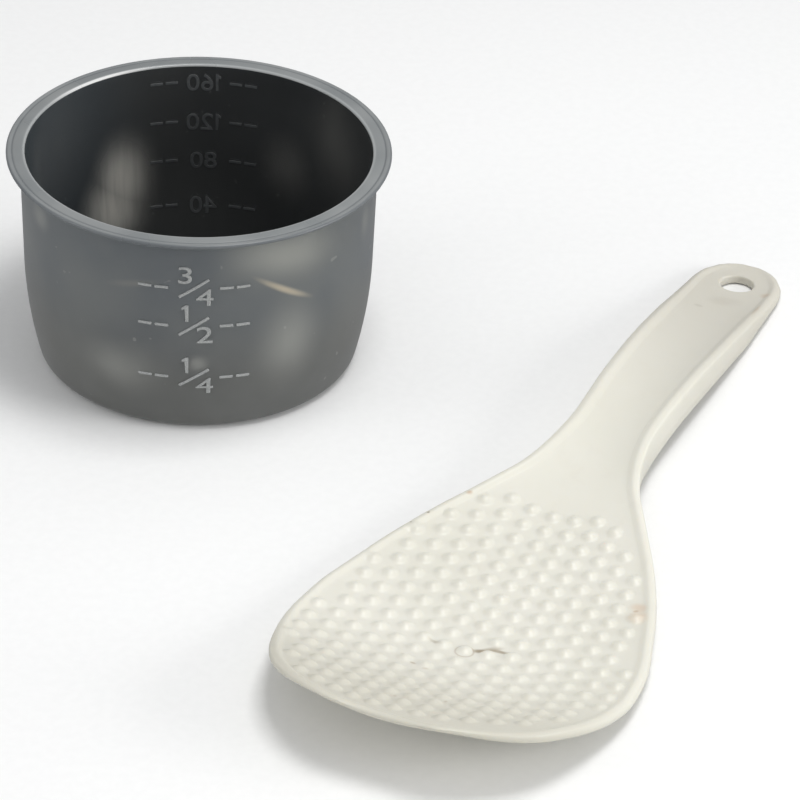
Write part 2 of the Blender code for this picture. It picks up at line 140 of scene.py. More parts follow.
# Share of the length; shares of the blade's and of the handle's width; middle height, rise of
# the sides and depth of the side wall, in millimetres.
SECTIONS = (
    (0.0000, 0.273, 0.00, 14.8, 1.0, 0.8),
    (0.0025, 0.340, 0.00, 14.7, 1.0, 0.8),
    (0.0075, 0.420, 0.00, 14.4, 1.1, 0.9),
    (0.0160, 0.520, 0.00, 13.8, 1.1, 1.1),
    (0.0275, 0.620, 0.00, 12.8, 1.2, 1.4),
    (0.0415, 0.710, 0.00, 11.7, 1.3, 1.7),
    (0.0570, 0.785, 0.00, 10.5, 1.5, 1.9),
    (0.0765, 0.848, 0.00, 9.0, 1.8, 2.0),
    (0.1000, 0.903, 0.00, 7.0, 2.1, 2.0),
    (0.1250, 0.947, 0.00, 5.2, 2.2, 2.0),
    (0.1500, 0.980, 0.00, 3.9, 2.2, 2.0),
    (0.1800, 1.000, 0.00, 2.8, 2.1, 2.0),
    (0.2100, 0.994, 0.00, 2.2, 2.1, 2.0),
    (0.2450, 0.968, 0.00, 2.0, 2.0, 2.0),
    (0.2850, 0.905, 0.00, 2.2, 1.8, 2.0),
    (0.3275, 0.830, 0.00, 2.7, 1.6, 2.0),
    (0.3650, 0.745, 0.00, 3.2, 1.6, 2.0),
    (0.4000, 0.650, 0.00, 3.9, 1.6, 2.0),
    (0.4300, 0.500, 0.19, 4.7, 1.5, 2.0),
    (0.4600, 0.310, 0.51, 5.7, 1.4, 2.1),
    (0.4900, 0.130, 0.80, 6.9, 1.2, 2.6),
    (0.5180, 0.050, 0.88, 8.0, 1.1, 4.2),
    (0.5470, 0.000, 0.94, 8.8, 1.0, 6.2),
    (0.5800, 0.000, 0.88, 9.3, 0.9, 7.2),
    (0.6200, 0.000, 0.89, 9.6, 0.9, 7.1),
    (0.6600, 0.000, 0.92, 9.6, 0.9, 6.9),
    (0.7100, 0.000, 0.95, 9.0, 0.9, 6.7),
    (0.7600, 0.000, 0.98, 8.0, 0.8, 6.2),
    (0.8100, 0.000, 0.995, 6.7, 0.7, 5.6),
    (0.8450, 0.000, 1.00, 5.6, 0.6, 5.1),
    (0.8750, 0.000, 0.99, 4.6, 0.5, 4.1),
    (0.9000, 0.000, 0.99, 3.7, 0.4, 3.0),
    (0.9250, 0.000, 0.98, 3.0, 0.3, 2.4),
    (0.9500, 0.000, 0.955, 2.5, 0.2, 2.1),
    (0.9700, 0.000, 0.87, 2.2, 0.1, 2.0),
    (0.9840, 0.000, 0.71, 2.1, 0.0, 2.0),
    (0.9930, 0.000, 0.53, 2.0, 0.0, 2.0),
    (0.9980, 0.000, 0.33, 2.0, 0.0, 2.0),
    (1.0000, 0.000, 0.19, 2.0, 0.0, 2.0),
)

# Camera: where it stands, how far it looks down and how far it is turned and rolled.
CAMERA_PLACE = (18.29 * MM, -724.88 * MM, 457.66 * MM)
CAMERA_DOWN = math.radians(33.019)
CAMERA_TURN = math.radians(-2.0)
CAMERA_ROLL = math.radians(2.196)
CAMERA_LENS = 180.18

# Room: how bright it is to matt surfaces, in reflections and through the plastic.
ROOM_GLOW = ((0.5, None), (0.3, "Is Glossy Ray"), (0.03, "Is Transmission Ray"))
# Soft lamps: name, place, what it points at, size, watts.
SOFTBOXES = (
    ("key_softbox", (0.14, -0.07, 0.62), (0.06, -0.08, 0.0), (0.24, 0.24), 1.8),
    ("left_softbox", (-0.95, -0.3, 0.4), (0.0, -0.05, 0.0), (0.5, 0.4), 1.8),
    ("fill_softbox", (0.95, -0.35, 0.32), (0.04, -0.05, 0.0), (0.5, 0.4), 3.9),
)
FLOOR_REACH = 3.0
FLOOR_GAP = 0.05 * MM


# Materials.


def linear(hex_colour):
    """An sRGB hex colour as linear red, green, blue and alpha 1."""
    values = []
    for i in (1, 3, 5):
        v = int(hex_colour[i : i + 2], 16) / 255
        values.append(v / 12.92 if v <= 0.04045 else ((v + 0.055) / 1.055) ** 2.4)
    return (*values, 1.0)


def add_node(material, kind, settings=None, links=None):
    """One node: settings are attributes or input values, links are input name to output socket."""
    node = material.node_tree.nodes.new(kind)
    for name, value in (settings or {}).items():
        if isinstance(name, str) and hasattr(node, name):
            setattr(node, name, value)
        else:
            node.inputs[name].default_value = value
    for name, socket in (links or {}).items():
        material.node_tree.links.new(socket, node.inputs[name])
    return node


def new_material(name):
    material = bpy.data.materials.new(name)
    material.use_nodes = True
    material.node_tree.nodes.clear()
    return material


def close_material(material, shader):
    add_node(material, "ShaderNodeOutputMaterial", links={"Surface": shader.outputs["BSDF"]})
    return material


def object_place(material):
    return add_node(material, "ShaderNodeTexCoord").outputs["Object"]


def paddle_place(material):
    """A place on the paddle's own axes: across, along from the scoop's tip, and up."""
    turned_back = add_node(
        material,
        "ShaderNodeMapping",
        {
            "vector_type": "TEXTURE",
            "Location": (*PADDLE_TIP, 0.0),
            "Rotation": (0.0, 0.0, -PADDLE_TURN),
        },
        {"Vector": object_place(material)},
    )
    return turned_back.outputs["Vector"]


def axis_value(material, place, axis):
    """How far along one of the piece's own axes, X, Y or Z, in metres."""
    return add_node(material, "ShaderNodeSeparateXYZ", links={"Vector": place}).outputs[axis]


def axis_distance(material, place):
    """How far from the piece's own Z axis, in metres."""
    flat = add_node(
        material, "ShaderNodeVectorMath", {"operation": "MULTIPLY", 1: (1.0, 1.0, 0.0)}, {0: place}
    )
    away = add_node(
        material, "ShaderNodeVectorMath", {"operation": "LENGTH"}, {0: flat.outputs["Vector"]}
    )
    return away.outputs["Value"]


def cloud(
    material, place, size_mm, detail=2.0, roughness=0.5, offset=(0.0, 0.0, 0.0), stretch=(1, 1, 1)
):
    """A soft noise whose blobs are about size_mm across."""
    scale = 1.0 / (size_mm * MM)
    moved = add_node(
        material,
        "ShaderNodeMapping",
        {"Location": offset, "Scale": [scale * s for s in stretch]},
        {"Vector": place},
    )
    noise = add_node(
        material,
        "ShaderNodeTexNoise",
        {"Scale": 1.0, "Detail": detail, "Roughness": roughness},
        {"Vector": moved.outputs["Vector"]},
    )
    return noise.outputs["Fac"]


def spread(material, value, low, high, start=0.0, end=1.0):
    """A value between low and high stretched smoothly to start and end."""
    node = add_node(
        material,
        "ShaderNodeMapRange",
        {
            "interpolation_type": "SMOOTHSTEP",
            "From Min": low,
            "From Max": high,
            "To Min": start,
            "To Max": end,
        },
        {"Value": value},
    )
    return node.outputs["Result"]


def tint(material, share, first, second):
    """A colour between two hex colours by share; first may also be a socket."""
    settings = {"data_type": "RGBA", "clamp_factor": True}
    node = add_node(material, "ShaderNodeMix", settings)
    a, b = [s for s in node.inputs if s.type == "RGBA"]
    if isinstance(first, str):
        a.default_value = linear(first)
    else:
        material.node_tree.links.new(first, a)
    b.default_value = linear(second)
    if isinstance(share, float):
        node.inputs["Factor"].default_value = share
    else:
        material.node_tree.links.new(share, node.inputs["Factor"])
    return [s for s in node.outputs if s.type == "RGBA"][0]


def times(material, a, b):
    """Two values multiplied. Each is a number or a socket."""
    node = add_node(material, "ShaderNodeMath", {"operation": "MULTIPLY"})
    for i, value in enumerate((a, b)):
        if isinstance(value, float):
            node.inputs[i].default_value = value
        else:
            material.node_tree.links.new(value, node.inputs[i])
    return node.outputs["Value"]


def bump(material, height, distance_mm):
    """A relief of distance_mm for a height of 1."""
    settings = {"Strength": 1.0, "Distance": distance_mm * MM}
    return add_node(material, "ShaderNodeBump", settings, {"Height": height}).outputs["Normal"]


def spot(material, place, centre_mm, size_mm, turn_degrees=(0, 0, 0), soft=0.5):
    """1 near a point of the piece, falling to 0 at size_mm from it along each axis of the turned
    spot."""
    moved = add_node(
        material,
        "ShaderNodeMapping",
        {
            "vector_type": "TEXTURE",
            "Location": [c * MM for c in centre_mm],
            "Rotation": [math.radians(t) for t in turn_degrees],
            "Scale": [s * MM for s in size_mm],
        },
        {"Vector": place},
    )
    away = add_node(
        material, "ShaderNodeVectorMath", {"operation": "LENGTH"}, {0: moved.outputs["Vector"]}
    )
    return spread(material, away.outputs["Value"], 1.0 - soft, 1.0, 1.0, 0.0)


def ring_spot(material, place, centre_mm, radius_mm, width_mm):
    """1 on a thin ring round a point of the piece."""
    wide = spot(material, place, centre_mm, [radius_mm + width_mm] * 3, soft=0.2)
    core = spot(material, place, centre_mm, [radius_mm] * 3, soft=0.2)
    settings = {"operation": "SUBTRACT", "use_clamp": True}
    return add_node(material, "ShaderNodeMath", settings, {0: wide, 1: core}).outputs["Value"]


# Painted reflections: soft pale patches fixed to the cup's wall where lamps are reflected. Middle
# and reach in millimetres, turn in degrees, strength.
OUTSIDE_PAINTED_REFLECTIONS = (
    ((18.0, -32.0, 41.5), (19.0, 17.0, 8.5), (0, 10, 0), 0.85),
    ((19.4, -31.0, 20.0), (11.0, 11.0, 15.0), (0, 0, 0), 0.75),
    ((-15.0, -33.0, 14.5), (13.0, 12.0, 9.0), (0, 0, 0), 0.6),
    ((0.8, -36.0, 17.8), (3.2, 4.0, 3.0), (0, 0, 0), 0.7),
    ((33.6, -13.0, 39.0), (3.2, 3.2, 6.5), (0, 0, 0), 0.55),
    ((-31.5, -18.5, 41.5), (5.0, 5.0, 4.5), (0, 0, 0), 0.6),
)
INSIDE_PAINTED_REFLECTIONS = (
    ((-17.6, 31.0, 21.5), (10.5, 10.5, 15.5), (0, 0, 12), 0.95),
    ((-19.6, 29.4, 15.5), (12.0, 12.0, 14.0), (0, 0, 12), 0.95),
    ((18.0, 30.5, 26.0), (9.0, 9.0, 11.0), (0, 0, 0), 0.25),
    ((-31.0, 16.0, 36.0), (19.0, 19.0, 28.0), (0, 0, 0), 0.15),
    ((29.0, 20.0, 36.0), (12.0, 14.0, 18.0), (0, 0, 0), 0.18),
)


def haze(m, place, spots, broken):
    """The painted reflection patches as one mask, softly broken up."""
    total = None
    for centre, size, turn, strength in spots:
        one = times(m, spot(m, place, centre, size, turn, 1.0), strength)
        if total is None:
            total = one
            continue
        both = add_node(m, "ShaderNodeMath", {"operation": "MAXIMUM"}, {0: total, 1: one})
        total = both.outputs["Value"]
    return times(m, total, broken)


def smoke_outside():
    """Moulded polypropylene, smoke grey and translucent: the outside is faintly frosted, so it is
    paler than the dark inside and blurs what is behind it. Its pale patches, warm line and faint
    arc are painted reflections."""
    m = new_material("smoke_polypropylene_frosted_outside")
    place = object_place(m)
    clouds = cloud(m, place, 26.0, detail=1.0, roughness=0.35, offset=(1.7, 0.4, 2.1))
    fine = cloud(m, place, 0.5, detail=2.0, roughness=0.5)
    dust = cloud(m, place, 1.6, detail=0.0, offset=(3.1, 0.2, 0.0))
    smudge = cloud(m, place, 6.0, detail=2.0, roughness=0.5)
    colour = tint(m, spread(m, clouds, 0.34, 0.68), "#848A8F", "#959999")
    low = spread(m, axis_value(m, place, "Z"), 34 * MM, 10 * MM)
    colour = tint(m, times(m, low, 0.75), colour, "#898984")
    colour = tint(m, times(m, spread(m, smudge, 0.4, 0.75), 0.2), colour, "#9B9D9B")
    # Painted reflections of the lamps: pale patches, which also let less light through.
    painted_reflection = haze(m, place, OUTSIDE_PAINTED_REFLECTIONS, spread(m, clouds, 0.2, 0.6, 0.8, 1.0))
    colour = tint(m, painted_reflection, colour, "#B4B5AF")
    # Painted reflection: a thin warm line across the front of the wall.
    painted_warm_reflection = spot(m, place, (18.2, -32.0, 33.4), (9.5, 9.0, 1.05), (0, 35, 0), 0.9)
    colour = tint(m, painted_warm_reflection, colour, "#EDE1C9")
    # Painted reflection: a fainter warm arc on the left of the front.
    faint = spot(m, place, (-12.2, -34.4, 35.8), (8.5, 7.0, 1.2), (0, -14, 0), 1.0)
    colour = tint(m, times(m, faint, 0.3), colour, "#C9C6BA")
    colour = tint(m, times(m, spread(m, fine, 0.45, 0.75), 0.03), colour, "#A9ABAA")
    colour = tint(m, times(m, spread(m, dust, 0.82, 0.88), 0.5), colour, "#C9CAC6")
    shader = add_node(
        m,
        "ShaderNodeBsdfPrincipled",
        {"IOR": 1.49, "Metallic": 0.0},
        {
            "Base Color": colour,
            "Transmission Weight": spread(m, painted_reflection, 0.0, 1.0, 0.5, 0.35),
            "Roughness": spread(m, fine, 0.3, 0.7, 0.28, 0.3),
            "Normal": bump(m, fine, 0.0007),
        },
    )
    return close_material(m, shader)


def smoke_inside():
    """The inside comes off a polished core, so it is smoother and darker, with soft clear
    reflections. Its pale patches are painted reflections, and the bluer, paler tint towards -X is
    painted light."""
    m = new_material("smoke_polypropylene_polished_inside")
    place = object_place(m)
    clouds = cloud(m, place, 30.0, detail=1.0, roughness=0.4, offset=(0.3, 2.2, 0.9))
    drawn = cloud(m, place, 1.2, detail=2.0, roughness=0.5, stretch=(1.0, 1.0, 0.06))
    dust = cloud(m, place, 1.4, detail=0.0, offset=(0.6, 2.9, 1.0))
    colour = tint(m, spread(m, clouds, 0.3, 0.7), "#595B5C", "#686A6A")
    # Painted light: paler and bluer towards the left (-X) of the inside.
    painted_cool_light = spread(m, axis_value(m, place, "X"), -8 * MM, -36 * MM)
    colour = tint(m, times(m, painted_cool_light, 0.6), colour, "#66747F")
    # Painted reflections of the lamps on the inner wall: pale patches, which also let less light
    # through.
    painted_reflection = haze(m, place, INSIDE_PAINTED_REFLECTIONS, spread(m, drawn, 0.2, 0.7, 0.85, 1.0))
    colour = tint(m, painted_reflection, colour, "#D8D5CC")
    colour = tint(m, times(m, spread(m, dust, 0.84, 0.88), 0.4), colour, "#A8A9A7")
    shader = add_node(
        m,
        "ShaderNodeBsdfPrincipled",
        {"IOR": 1.49, "Metallic": 0.0},
        {
            "Base Color": colour,
            "Transmission Weight": spread(m, painted_reflection, 0.0, 1.0, 0.7, 0.12),
            "Roughness": spread(m, drawn, 0.3, 0.7, 0.18, 0.22),
            "Normal": bump(m, drawn, 0.001),
        },
    )
    return close_material(m, shader)


def smoke_rim():
    """The flat ring is seen through its thickness, so it reads as a paler, milkier grey. Its dark
    outer edge and groove line are painted shade; its pale inner lip and the white spot on it are
    painted highlights.
    """
    m = new_material("smoke_polypropylene_rim")
    place = object_place(m)
    clouds = cloud(m, place, 14.0, detail=2.0, roughness=0.5)
    away = axis_distance(m, place)
    colour = tint(m, spread(m, clouds, 0.3, 0.7), "#8E9293", "#9DA0A0")
    # Painted shade on the rounded outer edge of the ring.
    outer = spread(m, away, RIM_OUTER - 0.55 * MM, RIM_OUTER - 0.1 * MM)
    colour = tint(m, times(m, outer, 0.7), colour, "#666B70")
    # Painted shade along the groove line.
    into_groove = spread(m, away, RIM_GROOVE - 0.3 * MM, RIM_GROOVE)
    past_groove = spread(m, away, RIM_GROOVE + 0.3 * MM, RIM_GROOVE)
    colour = tint(m, times(m, times(m, into_groove, past_groove), 0.65), colour, "#6B7074")
    # Painted highlight along the inner lip.
    inner = spread(m, away, RIM_INNER + 0.75 * MM, RIM_INNER + 0.15 * MM)
    colour = tint(m, times(m, inner, 0.6), colour, "#CDD0CF")
    # Painted highlight: a white spot on the inner lip at the back left.
    glint = times(m, inner, spot(m, place, (-23.0, 28.0, 47.0), (17.0, 15.0, 5.0), (0, 0, 0), 0.8))
    colour = tint(m, glint, colour, "#FFFFFD")
    shader = add_node(
        m,
        "ShaderNodeBsdfPrincipled",
        {"IOR": 1.49, "Transmission Weight": 0.22, "Metallic": 0.0},
        {
            "Base Color": colour,
            "Roughness": spread(m, clouds, 0.3, 0.7, 0.26, 0.34),
            "Normal": bump(m, clouds, 0.02),
        },
    )
    return close_material(m, shader)


def raised_figures():
    """The relief is spark-textured in the mould, so the figures catch more light than the wall."""
    m = new_material("smoke_polypropylene_raised_figures")
    place = object_place(m)
    grit = cloud(m, place, 0.35, detail=2.0, roughness=0.6)
    colour = tint(m, spread(m, grit, 0.3, 0.7), "#A4A7A7", "#B6B8B6")
    shader = add_node(
        m,
        "ShaderNodeBsdfPrincipled",
        {"IOR": 1.49, "Transmission Weight": 0.15, "Metallic": 0.0},
        {
            "Base Color": colour,
            "Roughness": spread(m, grit, 0.3, 0.7, 0.42, 0.6),
            "Normal": bump(m, grit, 0.01),
        },
    )
    return close_material(m, shader)


def figures_through_wall():
    """On the inside the figures only show as paler marks in the dark plastic."""
    m = new_material("smoke_polypropylene_figures_seen_inside")
    place = object_place(m)
    grit = cloud(m, place, 0.6, detail=2.0, roughness=0.6)
    colour = tint(m, spread(m, grit, 0.3, 0.7), "#5A5D5F", "#686A6B")
    shader = add_node(
        m,
        "ShaderNodeBsdfPrincipled",
        {"IOR": 1.49, "Transmission Weight": 0.3, "Metallic": 0.0},
        {"Base Color": colour, "Roughness": spread(m, grit, 0.3, 0.7, 0.3, 0.4)},
    )
    return close_material(m, shader)


# Faint marks of use on the scoop and handle, on the paddle's own axes in millimetres: place across
# and along, reach, turn in degrees, colour, strength.
PADDLE_MARKS = (
    ((26.2, 63.4), (3.2, 2.6), 0, "#E0BE9A", 0.5),
    ((25.2, 66.3), (2.6, 1.9), 0, "#D5B493", 0.4),
    ((25.0, 65.2), (0.8, 0.5), 30, "#B08C68", 0.5),
    ((-18.6, 85.0), (1.1, 0.7), 50, "#B98F66", 0.7),
    ((-23.6, 76.1), (0.55, 0.4), 60, "#75604C", 0.8),
    ((-25.6, 72.0), (0.4, 0.3), 0, "#75604C", 0.6),
    ((3.9, 43.2), (3.2, 1.25), 43, "#98886F", 0.85),
    ((6.0, 43.5), (3.0, 0.7), 4, "#98886F", 0.8),
    ((2.2, 41.9), (1.9, 1.0), 20, "#98886F", 0.8),
    ((-6.4, 40.6), (2.4, 0.7), -15, "#A89A82", 0.45),
    ((-6.9, 30.9), (0.9, 0.5), 0, "#9C8266", 0.5),
    ((-4.0, 30.1), (1.0, 0.4), 20, "#A38B6E", 0.4),
    ((5.6, 17.2), (0.5, 0.9), 0, "#A38B6E", 0.45),
    ((-2.5, 12.3), (0.5, 0.8), 0, "#A38B6E", 0.35),
    ((0.5, 181.5), (5.0, 3.2), 20, "#A89F90", 0.22),
    ((-3.5, 176.0), (1.4, 0.9), 0, "#A89F90", 0.3),
    ((8.6, 178.0), (0.7, 8.0), 4, "#B59A78", 0.5),
    ((7.5, 188.5), (1.6, 1.8), 0, "#B59A78", 0.35),
)
RINGED_DOME = (-0.3, 40.3)
MARK_DEPTH = 1.3


def surface_middle(across, along):
    """A place on the top face, in millimetres."""
    height = face_height(np.array([along * MM]), np.array([across * MM]))[0]
    return (across, along, height / MM)


def cream_plastic():
    """Moulded polypropylene, cream white and satin: light goes a little way in, so edges and domes
    are soft. Its colour carries painted shade, darker towards the hang hole and the scoop edge."""
    m = new_material("cream_polypropylene_moulded")
    place = paddle_place(m)
    clouds = cloud(m, place, 32.0, detail=2.0, roughness=0.5, offset=(0.7, 0.2, 0.5))
    mottle = cloud(m, place, 5.0, detail=3.0, roughness=0.6)
    skin = cloud(m, place, 0.5, detail=2.0, roughness=0.5)
    colour = tint(m, spread(m, clouds, 0.3, 0.7), "#E1DFD3", "#E5E3D8")
    colour = tint(m, times(m, spread(m, mottle, 0.5, 0.8), 0.25), colour, "#DAD6C9")
    along = axis_value(m, place, "Y")
    # Painted shade: a shade darker towards the hang hole.
    colour = tint(m, times(m, spread(m, along, 100 * MM, 190 * MM), 0.8), colour, "#CFCBBF")
    # Painted shade: a shade darker towards the scoop edge.
    colour = tint(m, times(m, spread(m, along, 42 * MM, 8 * MM), 0.9), colour, "#D0CDC0")
    for centre, size, turn, shade, strength in PADDLE_MARKS:
        middle = surface_middle(*centre)
        mark = spot(m, place, middle, (*size, MARK_DEPTH), (0, 0, turn), 0.8)
        broken = times(m, times(m, mark, strength), spread(m, mottle, 0.35, 0.6, 0.6, 1.0))
        colour = tint(m, broken, colour, shade)
    ring = ring_spot(m, place, surface_middle(*RINGED_DOME), 1.8, 0.35)
    colour = tint(m, times(m, ring, 0.4), colour, "#9C8266")
    shader = add_node(
        m,
        "ShaderNodeBsdfPrincipled",
        {
            "IOR": 1.49,
            "Metallic": 0.0,
            "Subsurface Weight": 0.2,
            "Subsurface Scale": 1.5 * MM,
            "Subsurface Radius": (1.0, 0.9, 0.7),
        },
        {
            "Base Color": colour,
            "Roughness": spread(m, skin, 0.3, 0.7, 0.34, 0.42),
            "Normal": bump(m, skin, 0.004),
        },
    )
    return close_material(m, shader)


def floor_paper():
    """Seamless white paper: matt, with the slightest tooth."""
    m = new_material("white_paper_sweep")
    place = object_place(m)
    tooth = cloud(m, place, 2.0, detail=3.0, roughness=0.6)
    colour = tint(m, spread(m, tooth, 0.3, 0.7), "#F7F7F6", "#F9F9F8")
    shader = add_node(
        m,
        "ShaderNodeBsdfPrincipled",
        {"IOR": 1.45, "Roughness": 0.9, "Specular IOR Level": 0.1},
        {"Base Color": colour, "Normal": bump(m, tooth, 0.02)},
    )
    return close_material(m, shader)


# Meshes.


def link(name, mesh, materials):
    """A mesh as an object in the scene, with its materials."""
    thing = bpy.data.objects.new(name, mesh)
    bpy.context.scene.collection.objects.link(thing)
    for material in materials:
        mesh.materials.append(material)
    return thing


def pour(shape, target):
    """Adds one shape to another and lets it go."""
    piece = bpy.data.meshes.new("piece")
    shape.to_mesh(piece)
    shape.free()
    target.from_mesh(piece)
    bpy.data.meshes.remove(piece)


def shade(mesh, sharp_degrees):
    """Smooth all over, but for edges sharper than this."""
    mesh.shade_smooth()
    mesh.set_sharp_from_angle(angle=math.radians(sharp_degrees))


def arc(centre, radius, start, end, steps):
    """Points along part of a circle, from one angle to another."""
    points = []
    for i in range(steps + 1):
        angle = start + (end - start) * i / steps
        points.append((centre[0] + radius * math.cos(angle), centre[1] + radius * math.sin(angle)))
    return points


def cup_side(inset, floor):
    """The wall's line from the floor to the mouth, moved in by inset and cut off at floor."""
    lean = math.atan(CUP_TAPER)
    belly = CUP_BELLY_RADIUS - inset
    corner = max(CUP_CORNER_RADIUS - inset * 0.4, 1.2 * MM)
    wall_foot = CUP_MOUTH_RADIUS - CUP_TAPER * (CUP_HEIGHT - CUP_BELLY_HEIGHT)
    belly_centre = (
        wall_foot - CUP_BELLY_RADIUS * math.cos(lean),
        CUP_BELLY_HEIGHT + CUP_BELLY_RADIUS * math.sin(lean),
    )
    drop = belly_centre[1] - floor
    low = math.asin((drop - corner) / (belly - corner))
    corner_centre = (
        belly_centre[0] + (belly - corner) * math.cos(low),
        belly_centre[1] - (belly - corner) * math.sin(low),
    )
    points = arc(corner_centre, corner, -math.pi / 2, -low, 14)
    points += arc(belly_centre, belly, -low, -lean, 20)[1:]
    top = (CUP_MOUTH_RADIUS - inset, CUP_HEIGHT)
    start = points[-1]
    for i in range(1, 9):
        share = i / 8
        points.append([a + (b - a) * share for a, b in zip(start, top)])
    return points


def rim_top():
    """The ring's top from its outer edge to the inner lip: rounded, with one shallow groove."""
    half = CUP_RIM_THICKNESS / 2
    middle = CUP_HEIGHT - half
    points = arc((RIM_OUTER - half, middle), half, -math.pi / 2, math.pi / 2, 12)
    for away, deep in RIM_GROOVE_LINE:
        points.append((RIM_GROOVE - away * MM, CUP_HEIGHT - deep * RIM_GROOVE_DEPTH))
    points += arc((RIM_INNER + half, middle), half, math.pi / 2, math.pi, 8)
    return points


def lathe(name, runs):
    """Turns runs of (points, material index) into one closed body. The first and last point are on
    the axis."""
    profile = []
    slots = []
    for points, index in runs:
        profile += points
        slots += [index] * len(points)
    turn = np.arange(CUP_FACETS) * 2 * math.pi / CUP_FACETS
    points = []
    rings = []
    for radius, height in profile:
        if radius == 0.0:
            rings.append([len(points)])
            points.append((0.0, 0.0, height))
            continue
        rings.append(list(range(len(points), len(points) + CUP_FACETS)))
        points += [(radius * math.cos(a), radius * math.sin(a), height) for a in turn]
    faces = []
    indices = []
    for k, (low, high) in enumerate(zip(rings, rings[1:])):
        for i in range(CUP_FACETS):
            j = (i + 1) % CUP_FACETS
            if len(low) == 1:
                faces.append((low[0], high[j], high[i]))
            elif len(high) == 1:
                faces.append((low[i], low[j], high[0]))
            else:
                faces.append((low[i], low[j], high[j], high[i]))
            indices.append(slots[k + 1])
    mesh = bpy.data.meshes.new(name)
    mesh.from_pydata(points, [], faces)
    mesh.polygons.foreach_set("material_index", indices)
    return mesh


def floor_rings(height, radii):
    return [(r * MM, height) for r in radii]


def build_cup_shell():
    outside = cup_side(0.0, 0.0)
    inside = cup_side(CUP_WALL, CUP_FLOOR)
    under = CUP_HEIGHT - CUP_RIM_THICKNESS
    wall = [p for p in outside if p[1] < under - 0.4 * MM]
    wall.append((CUP_MOUTH_RADIUS - CUP_TAPER * CUP_RIM_THICKNESS, under - 0.3 * MM))
    wall.append((CUP_MOUTH_RADIUS + 0.1 * MM, under - 0.05 * MM))
    wall.append((CUP_MOUTH_RADIUS + 0.3 * MM, under))
    bore = [p for p in inside if p[1] < under - 0.2 * MM]
    runs = (
        ([(0.0, 0.0)], 0),
        (floor_rings(0.0, (0.9, 8.0, 20.0)), 0),
        (wall, 0),
        (rim_top(), 2),
        (bore[::-1], 1),
        (floor_rings(CUP_FLOOR, (20.0, 8.0, 2.0)), 1),
        ([(0.0, CUP_FLOOR)], 1),
    )
    mesh = lathe("measuring_cup_shell", runs)
    shade(mesh, 50)
    shell = link("measuring_cup_shell", mesh, (smoke_outside(), smoke_inside(), smoke_rim()))
    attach(shell, "cup")
    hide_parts("measuring_cup")
    return shell


def line_radius(line, height):
    """How far out a wall's line is at this height."""
    for (r0, z0), (r1, z1) in zip(line, line[1:]):
        if z0 <= height <= z1:
            return r0 + (r1 - r0) * (height - z0) / (z1 - z0)
    return line[-1][0]


def font_figures(text):
    """Figures of the built-in font as a flat solid with soft edges, in the XY plane."""
    curve = bpy.data.curves.new("figure", "FONT")
    curve.body = text
    curve.size = DIGIT_HEIGHT / 0.7
    curve.extrude = MARK_HALF_DEPTH
    curve.bevel_depth = MARK_BEVEL
    curve.bevel_resolution = 2
    curve.offset = -MARK_BEVEL * 0.6
    curve.resolution_u = 10
    word = bpy.data.objects.new("figure", curve)
    bpy.context.scene.collection.objects.link(word)
    bpy.context.view_layer.update()
    shape = bmesh.new()
    shape.from_mesh(word.to_mesh())
    word.to_mesh_clear()
    bpy.data.objects.remove(word, do_unlink=True)
    bpy.data.curves.remove(curve)
    bmesh.ops.remove_doubles(shape, verts=shape.verts, dist=0.004 * MM)
    return shape


def add_figure_one(shape, right):
    """A figure 1 in the XY plane with its right-hand side at this place, and soft edges."""
    shift = right - ONE_OUTLINE[0][0] * DIGIT_HEIGHT
    half = MARK_HALF_DEPTH + MARK_BEVEL
    line = [(shift + x * DIGIT_HEIGHT, y * DIGIT_HEIGHT) for x, y in ONE_OUTLINE]
    one = bmesh.new()
    low, high = [[one.verts.new((x, y, z)) for x, y in line] for z in (-half, half)]
    one.faces.new(low[::-1])
    one.faces.new(high)
    for i in range(len(low)):
        j = (i + 1) % len(low)
        one.faces.new((low[i], low[j], high[j], high[i]))
    rim = [e for e in one.edges if abs(e.verts[0].co.z - e.verts[1].co.z) < half]
    bmesh.ops.bevel(one, geom=rim, offset=MARK_BEVEL, segments=3, affect="EDGES", profile=0.5)
    pour(one, shape)


def figure(text, widening):
    """A number as a flat solid, its face towards -Y and its middle at the origin."""
    rest = text.lstrip("1")
    shape = font_figures(rest) if rest else bmesh.new()
    if rest != text:
        right = min((v.co.x for v in shape.verts), default=0.0) - ONE_GAP * DIGIT_HEIGHT
        add_figure_one(shape, right)
    sides = [v.co.x for v in shape.verts]
    levels = [v.co.y for v in shape.verts]
    middle = (min(sides) + max(sides)) / 2
    waist = (min(levels) + max(levels)) / 2
    for v in shape.verts:
        x, y, z = v.co
        v.co = Vector(((x - middle) * widening, -z, y - waist))
    return shape


def bar(length, tilt):
    """A straight line of the scale, cut along its length so that it can bend round the cup."""
    shape = bmesh.new()
    bmesh.ops.create_cube(shape, size=1.0)
    long_edges = [e for e in shape.edges if abs(e.verts[0].co.x - e.verts[1].co.x) > 0.5]
    bmesh.ops.subdivide_edges(shape, edges=long_edges, cuts=7)
    size = (length, 2 * (MARK_HALF_DEPTH + MARK_BEVEL), LINE_THICKNESS)
    bmesh.ops.scale(shape, vec=size, verts=shape.verts)
    rim = [e for e in shape.edges if e.calc_face_angle(0.0) > 1.0]
    soft = MARK_BEVEL * 1.5
    bmesh.ops.bevel(shape, geom=rim, offset=soft, segments=3, affect="EDGES", profile=0.5)
    bmesh.ops.transform(shape, matrix=Matrix.Rotation(-tilt, 4, "Y"), verts=shape.verts)
    return shape


